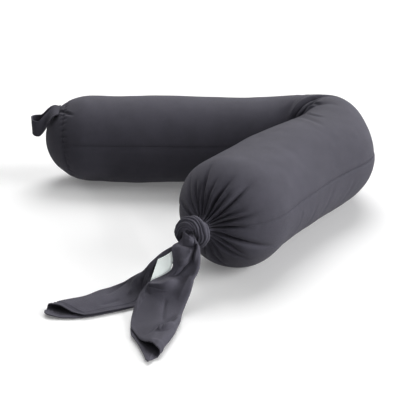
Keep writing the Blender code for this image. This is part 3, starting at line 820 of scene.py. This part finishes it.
def seam_push(grid, along, angles, radius):
    """Side seams from the end disc to the knot, and the ring seam round the end disc with its puckers."""
    girth = np.maximum(radius, 0.004)[:, None] * math.pi / 180.0
    fine = noise_at(grid, 0.009, 7.0)
    push = 0.0
    beside = along[:, None] - END_SEAM_ALONG + END_SEAM_TILT * np.sin(np.radians(angles))[None, :]
    on_tube = smooth(beside / 0.004)
    for seam in SIDE_SEAMS_DEG:
        offset = turned(angles[None, :] - seam) * girth
        push = push - on_tube * (SEAM_GROOVE * np.exp(-((np.abs(offset) / SEAM_WIDTH) ** 1.3)))
        push = push - on_tube * SEAM_DIP * bell(offset, SEAM_DIP_WIDTH) * (1.0 + 0.6 * fine)
    inner_seam, outer_seam = SIDE_SEAMS_DEG
    below = -turned(angles - inner_seam)[None, :] * girth
    push = push - on_tube * LOWER_PANEL_IN * smooth(below / 0.003) * np.exp(-np.maximum(below, 0.0) / 0.030)
    below = turned(angles - outer_seam)[None, :] * girth
    outer = LOWER_PANEL_OUT * bell(along[:, None] - BEND_ALONG, 0.100)
    push = push + on_tube * outer * smooth(below / 0.003) * np.exp(-np.maximum(below, 0.0) / 0.040)
    loose = noise_at(grid, 0.030, 3.0)
    gather = np.maximum(np.cos(np.radians(angles)[None, :] * PUCKERS + 5.0 * loose), 0.0) ** 2
    push = push - RING_SEAM_GROOVE * np.exp(-((np.abs(beside) / 0.0018) ** 1.3))
    return push - PUCKER_DEPTH * gather * (1.0 + loose) * bell(beside - 0.003, PUCKER_WIDTH)


def plump_push(grid):
    """Broad unevenness of the filling, and faint slack in the jersey."""
    lumps = noise_at(grid, LUMP_SIZE) * LUMP_HEIGHT
    return lumps + noise_at(grid * np.array([1.0, 1.0, 0.6]), SLACK_SIZE, 11.0) * SLACK_HEIGHT


def cover_grid():
    """The finished cover: its grid of points, and their places on the uncut cloth."""
    table = profile()
    along = ring_places(table[0][-1])
    distance, radius, from_neck = (np.interp(along, table[0], column) for column in table[1:])
    angles = column_angles()
    grid = bare_cover(distance, radius, angles)
    neck, gone, neck_radius = neck_grid(distance[-1], angles)
    grid = np.concatenate((grid, neck[1:]))
    along = np.concatenate((along, along[-1] + gone[1:]))
    radius, from_neck = np.concatenate((radius, neck_radius[1:])), np.concatenate((from_neck, gone[1:] * 0.0))
    normals = grid_normals(grid, closed=True)
    push = plump_push(grid) * smooth(along / 0.05)[:, None] + seam_push(grid, along, angles, radius)
    push += gather_push(from_neck, angles, radius)
    for wrinkle in BEND_WRINKLES:
        route = smooth_route(wrinkle.points, 60)
        rows = np.interp(route[:, 0], along, np.arange(len(along)))
        columns = np.interp(route[:, 1] % 360.0, np.append(angles, 360.0), np.arange(len(angles) + 1))
        push += wrinkle_push(grid, wrinkle, on_grid(grid, rows, columns, closed=True))
    grid = grid + normals * push[..., None]
    grid[..., 2] = np.maximum(grid[..., 2], 0.0)
    flat = np.empty((len(along), len(angles) + 1, 2))
    flat[..., 0] = np.append(angles, 360.0) * TUBE_RADIUS * math.pi / 180.0
    flat[..., 1] = along[:, None]
    return grid, flat


# The knot


def knot_grid(ridge_height):
    """A ring of folded cloth whose strands run round it and cross from its outside to its hole."""
    centre = np.array(KNOT_MIDDLE)
    ahead, inner, up = knot_directions()
    around = math.tau * np.arange(KNOT_AROUND) / KNOT_AROUND
    across = math.tau * np.arange(KNOT_ACROSS) / KNOT_ACROSS
    hole = KNOT_HOLE_RADIUS + KNOT_HOLE_SHIFT * np.cos(around - math.radians(KNOT_HOLE_DEG))
    cord, ring = (KNOT_RADIUS - hole) / 2, (KNOT_RADIUS + hole) / 2
    push = np.zeros((KNOT_AROUND, KNOT_ACROSS))
    begins, ends = KNOT_CROSSING_DEG
    crossing = smooth((np.degrees(around) - begins) / (ends - begins))
    winding = KNOT_EVEN_SHARE * around / math.tau + (1.0 - KNOT_EVEN_SHARE) * crossing
    for strand in range(KNOT_STRANDS):
        wander = 0.30 * np.sin(around + 1.7 * strand) + 0.22 * np.sin(2.0 * around + 2.9 * strand)
        seat = math.tau * (strand + wander + KNOT_SHIFT * winding) / KNOT_STRANDS
        offset = (across[None, :] - seat[:, None] + math.pi) % math.tau - math.pi
        width = 0.0020 + 0.0008 * ((strand * GOLDEN) % 1.0)
        depth = 0.75 + 0.25 * np.cos(around + strand * 2.1)
        push -= ridge_height * depth[:, None] * np.exp(-((np.abs(offset) * cord[:, None] / width) ** 1.2))
    push *= 1.0 - 0.6 * smooth((-np.cos(across) - 0.75) / 0.25)
    cord_out = cord[:, None] + push
    out = ring[:, None] + cord_out * np.cos(across)
    forward = cord_out * KNOT_DEPTH_SHARE * np.sin(across)
    outward = inner * np.cos(around)[:, None] + up * np.sin(around)[:, None]
    grid = centre + outward[:, None] * out[..., None] + ahead * forward[..., None]
    grid += outward[:, None] * (noise_at(grid, 0.012, 5.0) * 0.0009)[..., None]
    flat = np.empty(grid.shape[:2] + (2,))
    flat[..., 0] = across[None, :] * KNOT_CLOTH_ACROSS
    flat[..., 1] = around[:, None] * KNOT_CLOTH_AROUND
    return grid, flat


def ring_piece(name, grid, flat, finish):
    """A piece through a grid that closes both ways."""
    rows, columns = grid.shape[:2]
    row, column = np.meshgrid(np.arange(rows), np.arange(columns), indexing="ij")
    row, column = row.ravel(), column.ravel()
    corners = ((0, 0), (0, 1), (1, 1), (1, 0))
    faces = [((row + down) % rows) * columns + (column + right) % columns for down, right in corners]
    step_u, step_v = flat[0, 1, 0] - flat[0, 0, 0], flat[1, 0, 1] - flat[0, 0, 1]
    places = [np.stack(((column + right) * step_u, (row + down) * step_v), axis=-1) for down, right in corners]
    faces, places = np.stack(faces, axis=-1), np.stack(places, axis=1).reshape(-1, 2)
    return mesh_piece(name, grid.reshape(-1, 3) + TABLE_PLACE, faces.tolist(), places, finish)


# Sheets: the tails, the strap and the label


def eased_row(rows, share):
    """The values of a table at a share of its length, on a smooth curve through its rows."""
    place = share * (len(rows) - 1)
    index = min(int(place), len(rows) - 2)
    four = (rows[max(index - 1, 0)], rows[index], rows[index + 1], rows[min(index + 2, len(rows) - 1)])
    return curve_between(*(np.array(row) for row in four), place - index)


def folded_point(rows, share, across, fold_side, closing):
    """A point of a tail at a share of its length, and from 0 at the lower leaf's edge to 1 at the upper leaf's."""
    here = Fold(*eased_row(rows, share))
    step = 0.01
    ahead = eased_row(rows, min(share + step, 1.0))[:3] - eased_row(rows, max(share - step, 0.0))[:3]
    edge, tilt = math.radians(here.edge_deg), math.radians(here.tilt_deg)
    side = np.array([math.cos(edge), math.sin(edge), 0.0])
    up = np.cross(side, ahead - side * np.dot(ahead, side)) * fold_side
    up /= np.linalg.norm(up)
    side, up = side * math.cos(tilt) + up * math.sin(tilt), up * math.cos(tilt) - side * math.sin(tilt)
    radius = here.lift / 2
    lower_end, upper_start = 0.5 - FOLD_SHARE / 2, 0.5 + FOLD_SHARE / 2
    flat = here.half_width - radius
    wave = here.ruffle * math.cos(3.0 * math.pi * (2 * abs(across - 0.5)))
    if across < lower_end:
        out, height = -here.half_width + (flat + here.half_width) * across / lower_end, wave
    elif across > upper_start:
        back = (across - upper_start) / (1.0 - upper_start)
        out = flat - (flat + here.half_width) * here.reach * back
        closed = closing * here.reach**2 * float(smooth((back - 0.25) / 0.75))
        height = here.lift - (here.lift - LEAF_GAP) * closed + wave
    else:
        turn = math.pi * (across - lower_end) / FOLD_SHARE
        out, height = flat + radius * math.sin(turn), radius * (1 - math.cos(turn)) + wave
    return np.array([here.x, here.y, here.z]) + side * out + up * height


def eased(value, span):
    """From 0 to 1 as a value passes a span, given by its start and its length."""
    return smooth((value - span[0]) / span[1])


def sheet_flat(grid):
    """Flat places of a sheet's grid, from its lengths along and across."""
    width = np.cumsum(np.linalg.norm(np.diff(grid, axis=1, prepend=grid[:, :1]), axis=-1), axis=1)
    length = np.cumsum(np.linalg.norm(np.diff(grid, axis=0, prepend=grid[:1]), axis=-1), axis=0)
    return np.stack((width, length), axis=-1)


def tail_grid(rows, leaves, fold_side, closing, wrinkles, hem_width):
    """A tail's grid of points with its wrinkles and hems, and its flat places."""
    gone, across = np.linspace(0.0, 1.0, TAIL_ALONG + 1), np.linspace(0.0, 1.0, TAIL_ACROSS + 1)
    kept = 1.0 - np.interp(across, *leaves)
    columns = list(zip(across, kept))
    grid = np.array(
        [[folded_point(rows, share * part, place, fold_side, closing) for place, part in columns] for share in gone]
    )
    normals = grid_normals(grid, closed=False)
    push = np.zeros(grid.shape[:2])
    for wrinkle in wrinkles:
        route = smooth_route(wrinkle.points, 50)
        places = on_grid(grid, route[:, 0] * TAIL_ALONG, route[:, 1] * TAIL_ACROSS, closed=False)
        push += wrinkle_push(grid, wrinkle, places) * eased(across, UPPER_LEAF)
    gone, across = gone[:, None], across[None, :]
    push -= push[:, ::-1] * (across < 0.5) * (1.0 - eased(gone, LEAVES_PART))
    push += noise_at(grid, 0.028, 2.0) * 0.0010 * smooth(gone * 5.0)
    ruffle = np.cos(ROOT_RUFFLES * math.tau * np.abs(across - 0.5)) * np.sign(across - 0.5)
    push += ruffle * ROOT_RUFFLE * (1.0 - smooth(gone / 0.16))
    flat = sheet_flat(grid)
    width, length = flat[..., 0], flat[..., 1]
    from_hem = np.minimum(np.minimum(width, width[:, -1:] - width), length[-1:] - length) - hem_width
    hems = bell(from_hem, HEM_ROW_WIDTH) + bell(from_hem + HEM_ROWS_APART, HEM_ROW_WIDTH)
    push -= HEM_GROOVE * hems * eased(gone, HEMS_SHOW)
    grid = grid + normals * push[..., None]
    height = grid[..., 2] + LIP_LIFT * eased(gone, LIP_RISES) ** 2 * (1.0 - eased(across, LIP_ENDS))
    grid[..., 2] = (height + np.sqrt((height - 2 * LOWEST_CLOTH) ** 2 + 4e-6)) / 2 + LOWEST_CLOTH
    return grid, flat


def strap_grid():
    """The strap, sewn by both ends to the end seam, its width turning from along the seam to upright."""
    middle, ahead, inner, up = (value[0] for value in route_at(np.array([END_SEAM_DISTANCE])))
    seam_radius = PLUMPNESS[0].radius * math.sqrt(1.0 - (1.0 - END_SEAM_DISTANCE / END_DOME) ** 2)
    root_angle = math.radians(STRAP_ROOT_DEG)
    outward = inner * math.cos(root_angle) + up * math.sin(root_angle)
    root = middle + outward * (seam_radius + STRAP_LIFT)
    seam_way = up * math.cos(root_angle) - inner * math.sin(root_angle)
    grid = []
    for along in range(STRAP_ALONG + 1):
        place = 2.0 * along / STRAP_ALONG - 1.0
        leg = abs(place)
        way_out = -ahead * STRAP_REACH * (1.0 - leg**2.0)
        bulge = -inner * STRAP_BULGE * math.sin(math.pi * place)
        sag = np.array([0.0, 0.0, -STRAP_DROP * float(smooth((1.0 - leg) / 0.5))])
        if place < 0:
            sag[2] -= STRAP_NEAR_DROP * math.sin(math.pi * leg)
        tuck = STRAP_ROOT_GAP * math.copysign(leg**6, place) + STRAP_TUCK * float(smooth((leg - 0.86) / 0.14))
        centre = root + way_out + bulge + sag - outward * tuck
        turn = float(smooth((1.0 - leg) / 0.45))
        width_way = seam_way * (1.0 - turn) + np.array([0.0, 0.0, 1.0]) * turn
        width_way /= np.linalg.norm(width_way)
        shares = [index / STRAP_ACROSS - 0.5 for index in range(STRAP_ACROSS + 1)]
        grid.append([centre + width_way * STRAP_WIDTH * share for share in shares])
    return np.array(grid)


def label_grid():
    """The label, hung by its near end, from its four corners."""
    (near_left, near_right), (far_left, far_right) = np.array(LABEL_CORNERS)
    shares = np.linspace(0, 1, LABEL_ALONG + 1), np.linspace(0, 1, LABEL_ACROSS + 1)
    along, across = np.meshgrid(*shares, indexing="ij")
    along, across = along[..., None], across[..., None]
    left = near_left + (far_left - near_left) * along
    right = near_right + (far_right - near_right) * along
    grid = left + (right - left) * across
    grid[..., 2:] -= LABEL_SAG * np.sin(math.pi * across)
    return grid


# Sizes and colours that a user would change


class JerseySizes(bpy.types.PropertyGroup):
    """The jersey of the cover, the knot, the tails and the strap."""

    colour: FloatVectorProperty(
        name="Colour", description="Dye of the jersey", subtype="COLOR", size=3,
        default=(0.074, 0.071, 0.092), min=0, max=1
    )
    roughness: FloatProperty(name="Roughness", description="Roughness of the jersey", default=0.82, min=0, max=1)
    sheen: FloatProperty(name="Sheen", description="Soft sheen of the fibres", default=0.06, min=0, max=1)
    wale: FloatProperty(
        name="Wale", description="Width of one column of stitches", default=0.0012, unit="LENGTH", min=0.0005, max=0.01
    )
    course: FloatProperty(
        name="Course", description="Height of one row of stitches", default=0.0009, unit="LENGTH", min=0.0005, max=0.01
    )
    stitch_depth: FloatProperty(
        name="Stitch depth", description="Strength of the stitch relief", default=0.5, min=0, max=1
    )


class KnotSizes(bpy.types.PropertyGroup):
    """The ring knot."""

    ridge: FloatProperty(
        name="Ridge height", description="Depth between the knot's strands",
        default=0.0054, unit="LENGTH", min=0, max=0.008
    )


class TailSizes(bpy.types.PropertyGroup):
    """The two loose tails."""

    thickness: FloatProperty(
        name="Thickness", description="Thickness of the hemmed jersey",
        default=0.0016, unit="LENGTH", min=0.0005, max=0.004
    )
    hem: FloatProperty(
        name="Hem width", description="Distance of the hem's stitching from the edge",
        default=0.012, unit="LENGTH", min=0.004, max=0.03
    )


class StrapSizes(bpy.types.PropertyGroup):
    """The strap loop."""

    thickness: FloatProperty(
        name="Thickness", description="Thickness of the doubled strap",
        default=0.0022, unit="LENGTH", min=0.0005, max=0.005
    )


class LabelSizes(bpy.types.PropertyGroup):
    """The bare care label."""

    colour: FloatVectorProperty(
        name="Colour", description="Colour of the ribbon", subtype="COLOR", size=3,
        default=(0.93, 1.0, 0.98), min=0, max=1
    )
    # Painted light: a glow in the ribbon's own colour that brightens the label beyond what the lamps give.
    painted_glow: FloatProperty(
        name="Painted_glow", description="Glow of the ribbon's optical brightener", default=0.20, min=0, max=1
    )
    thickness: FloatProperty(
        name="Thickness", description="Thickness of the ribbon", default=0.0006, unit="LENGTH", min=0.0002, max=0.002
    )


class StageSizes(bpy.types.PropertyGroup):
    """The floor, the light and the camera."""

    floor_colour: FloatVectorProperty(
        name="Floor", description="Colour of the floor", subtype="COLOR", size=3,
        default=(0.93, 0.93, 0.93), min=0, max=1
    )
    floor_glow: FloatProperty(
        name="Floor glow", description="Light that the floor gives off itself", default=0.12, min=0, max=1
    )
    surround: FloatProperty(name="Surround", description="Strength of the white surround", default=0.18, min=0, max=5)
    light: FloatProperty(name="Light", description="Share of the soft lights' strength", default=1.0, min=0, max=5)
    lens: FloatProperty(
        name="Lens", description="Focal length of the camera, in millimetres",
        default=CAMERA_LENS_MM, min=10, max=300
    )


class PillowSizes(bpy.types.PropertyGroup):
    """Every group of sizes."""

    jersey: PointerProperty(type=JerseySizes)
    knot: PointerProperty(type=KnotSizes)
    tails: PointerProperty(type=TailSizes)
    strap: PointerProperty(type=StrapSizes)
    label: PointerProperty(type=LabelSizes)
    stage: PointerProperty(type=StageSizes)


# Operators


class PILLOW_OT_cover(bpy.types.Operator):
    """Makes the filled cover with its seams, gathers and wrinkles"""

    bl_idname = "pillow.cover"
    bl_label = "Cover"

    def execute(self, context):
        sizes = context.scene.pillow
        grid, flat = cover_grid()
        finish = jersey_finish("cover_jersey", sizes.jersey)
        cover = grid_piece("cover", grid, flat, finish, closed=True, capped=True)
        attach(cover, "root")
        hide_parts("bolster")
        return {"FINISHED"}


class PILLOW_OT_knot(bpy.types.Operator):
    """Ties the ring knot"""

    bl_idname = "pillow.knot"
    bl_label = "Knot"

    def execute(self, context):
        sizes = context.scene.pillow
        grid, flat = knot_grid(sizes.knot.ridge)
        knot = ring_piece("knot_ring", grid, flat, jersey_finish("knot_jersey", sizes.jersey))
        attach(knot, "root")
        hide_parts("knot")
        return {"FINISHED"}


class PILLOW_OT_tails(bpy.types.Operator):
    """Lays out the two folded tails"""

    bl_idname = "pillow.tails"
    bl_label = "Tails"

    def execute(self, context):
        sizes = context.scene.pillow
        for name, node, *shape in (
            ("front_tail_sheet", "tail_front", TAIL_FRONT, FRONT_LEAVES, -1.0, FRONT_CLOSING, FRONT_WRINKLES),
            ("left_tail_sheet", "tail_left", TAIL_LEFT, LEFT_LEAVES, 1.0, LEFT_CLOSING, LEFT_WRINKLES),
        ):
            grid, flat = tail_grid(*shape, sizes.tails.hem)
            tail = grid_piece(name, grid, flat, jersey_finish(node + "_jersey", sizes.jersey))
            area, width, length = cut_size(grid)
            thickened(tail, sizes.tails.thickness)
            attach(tail, "root")
            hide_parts(node)
            area = max(area, SMALLEST_AREA_SHARE * width * length)
        return {"FINISHED"}


class PILLOW_OT_strap(bpy.types.Operator):
    """Sews on the strap loop"""

    bl_idname = "pillow.strap"
    bl_label = "Strap loop"

    def execute(self, context):
        sizes = context.scene.pillow
        grid = strap_grid()
        strap = grid_piece("strap", grid, sheet_flat(grid), jersey_finish("strap_jersey", sizes.jersey))
        thickened(strap, sizes.strap.thickness)
        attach(strap, "root")
        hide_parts("strap_loop")
        return {"FINISHED"}


class PILLOW_OT_label(bpy.types.Operator):
    """Hangs the bare care label between the tails"""

    bl_idname = "pillow.label"
    bl_label = "Care label"

    def execute(self, context):
        sizes = context.scene.pillow.label
        grid = label_grid()
        label = grid_piece("label", grid, sheet_flat(grid), label_finish("label_ribbon", sizes))
        thickened(label, sizes.thickness)
        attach(label, "root")
        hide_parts("care_label")
        return {"FINISHED"}


class PILLOW_OT_stage(bpy.types.Operator):
    """Sets the floor, the soft light and the camera"""

    bl_idname = "pillow.stage"
    bl_label = "Stage"

    def soft_light(self, scene, lamp, share):
        light = bpy.data.lights.new(lamp.name, "SUN")
        light.energy, light.angle = lamp.strength * share, math.radians(lamp.spread_deg)
        made = bpy.data.objects.new(lamp.name, light)
        made.rotation_euler = Vector(lamp.toward).to_track_quat("Z", "Y").to_euler()
        scene.collection.objects.link(made)

    def tail_light(self, scene, share):
        light = bpy.data.lights.new("tail_light", "SPOT")
        light.energy, light.spot_size = TAIL_LIGHT.watts * share, math.radians(TAIL_LIGHT.cone_deg)
        light.spot_blend, light.shadow_soft_size = 1.0, TAIL_LIGHT.radius
        made = bpy.data.objects.new("tail_light", light)
        made.location = TAIL_LIGHT.place
        back_from_aim = Vector(TAIL_LIGHT.place) - Vector(TAIL_LIGHT.aim)
        made.rotation_euler = back_from_aim.to_track_quat("Z", "Y").to_euler()
        scene.collection.objects.link(made)

    def execute(self, context):
        scene, sizes = context.scene, context.scene.pillow.stage
        bpy.ops.object.select_all(action="DESELECT")
        place = (0.0, 0.0, FLOOR_HEIGHT)
        bpy.ops.mesh.primitive_circle_add(vertices=128, radius=FLOOR_RADIUS, fill_type="NGON", location=place)
        floor = context.active_object
        floor.name = "floor"
        bpy.ops.object.mode_set(mode="EDIT")
        for rise, spread in RIM_STEPS:
            bpy.ops.mesh.select_all(action="SELECT")
            bpy.ops.mesh.region_to_loop()
            bpy.ops.mesh.extrude_edges_move(TRANSFORM_OT_translate={"value": (0.0, 0.0, rise)})
            bpy.ops.transform.resize(value=(spread, spread, 1.0))
        bpy.ops.object.mode_set(mode="OBJECT")
        bpy.ops.object.shade_smooth()
        floor.visible_shadow = False
        floor.visible_diffuse = False
        finish = Finish("floor_white", 0.9)
        colour = sizes.floor_colour
        tone = finish.noise(3.0, 2.0, 0.5)
        finish.feed("Base Color", finish.mix(tone, shaded(colour, 0.995), shaded(colour, 1.0)))
        finish.feed("Emission Color", (1.0, 1.0, 1.0, 1.0))
        finish.feed("Emission Strength", sizes.floor_glow)
        floor.data.materials.append(finish.made)
        world = bpy.data.worlds.new("surround")
        world.use_nodes = True
        background = world.node_tree.nodes["Background"]
        background.inputs["Color"].default_value = (1.0, 1.0, 1.0, 1.0)
        background.inputs["Strength"].default_value = sizes.surround
        scene.world = world
        for lamp in LAMPS:
            self.soft_light(scene, lamp, sizes.light)
        self.tail_light(scene, sizes.light)
        scene.view_settings.view_transform = "Standard"
        camera = bpy.data.cameras.new("photo_camera")
        camera.sensor_width, camera.lens = SENSOR_MM, sizes.lens
        view = bpy.data.objects.new("photo_camera", camera)
        view.location = CAMERA_PLACE
        view.rotation_euler = (math.radians(CAMERA_TILT_DEG), 0.0, 0.0)
        scene.collection.objects.link(view)
        scene.camera = view
        return {"FINISHED"}


class VIEW3D_PT_pillow(bpy.types.Panel):
    """Lists the pillow's sizes and the steps that make it"""

    bl_label = "Pregnancy pillow"
    bl_space_type = "VIEW_3D"
    bl_region_type = "UI"
    bl_category = "Pillow"

    def draw(self, context):
        sizes = context.scene.pillow
        for group in (sizes.jersey, sizes.knot, sizes.tails, sizes.strap, sizes.label, sizes.stage):
            box = self.layout.box()
            for name in group.__annotations__:
                box.prop(group, name)
        for step in STEPS:
            self.layout.operator(step.bl_idname)


GROUPS = (JerseySizes, KnotSizes, TailSizes, StrapSizes, LabelSizes, StageSizes, PillowSizes)
STEPS = (PILLOW_OT_cover, PILLOW_OT_knot, PILLOW_OT_tails, PILLOW_OT_strap, PILLOW_OT_label, PILLOW_OT_stage)


def register():
    for made in GROUPS + STEPS + (VIEW3D_PT_pillow,):
        bpy.utils.register_class(made)
    bpy.types.Scene.pillow = PointerProperty(type=PillowSizes)


def unregister():
    del bpy.types.Scene.pillow
    for made in reversed(GROUPS + STEPS + (VIEW3D_PT_pillow,)):
        bpy.utils.unregister_class(made)


def main():
    register()
    bpy.ops.pillow.cover()
    bpy.ops.pillow.knot()
    bpy.ops.pillow.tails()
    bpy.ops.pillow.strap()
    bpy.ops.pillow.label()
    bpy.ops.pillow.stage()


if __name__ == "__main__":
    main()
